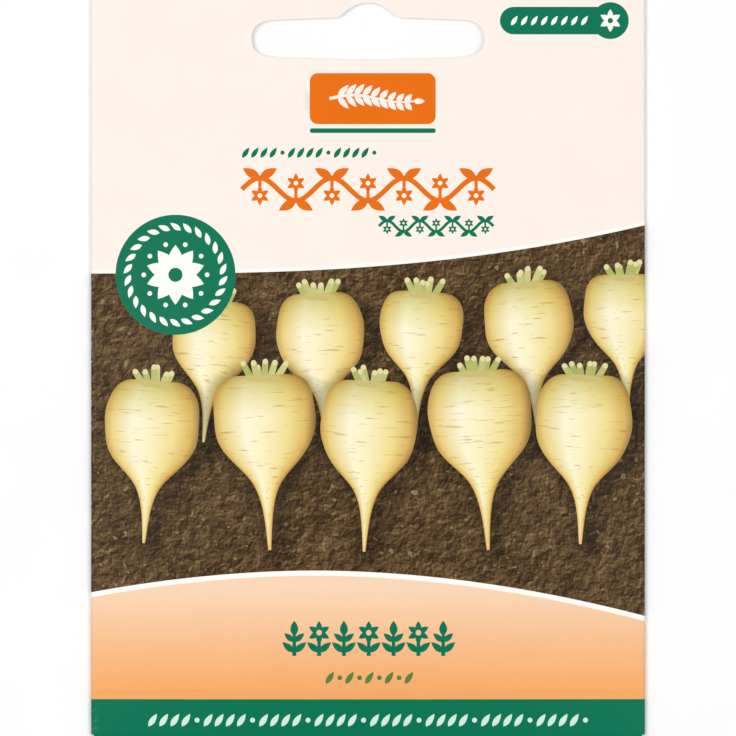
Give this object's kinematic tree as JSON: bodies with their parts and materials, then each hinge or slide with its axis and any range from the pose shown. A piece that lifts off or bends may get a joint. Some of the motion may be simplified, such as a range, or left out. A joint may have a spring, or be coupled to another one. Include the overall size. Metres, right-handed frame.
{
  "type": "seed packet",
  "caption": "Flat paper seed packet, folded from one sheet, with a swollen pouch of seeds, lapped back seam, glued end flaps and a punched hang slot in its header.",
  "frame": {"origin": "on the surface that the packet lies on, under the middle of its outline", "axes": "+X across the front to the right, +Y up the front towards the hang slot, +Z out of the front"},
  "size_m": [0.076, 0.11, 0.0045],
  "materials": {
    "coated_paper": "smooth coated paper",
    "dried_glue": "thin dried film",
    "seed_coat": "dry and papery"
  },
  "bodies": {
    "root": {"packet_sheet": "coated_paper", "seam_glue": "dried_glue", "bottom_flap_glue": "dried_glue", "top_flap_glue_lower": "dried_glue", "top_flap_glue_upper": "dried_glue", "seeds": "seed_coat"}
  },
  "joints": []
}
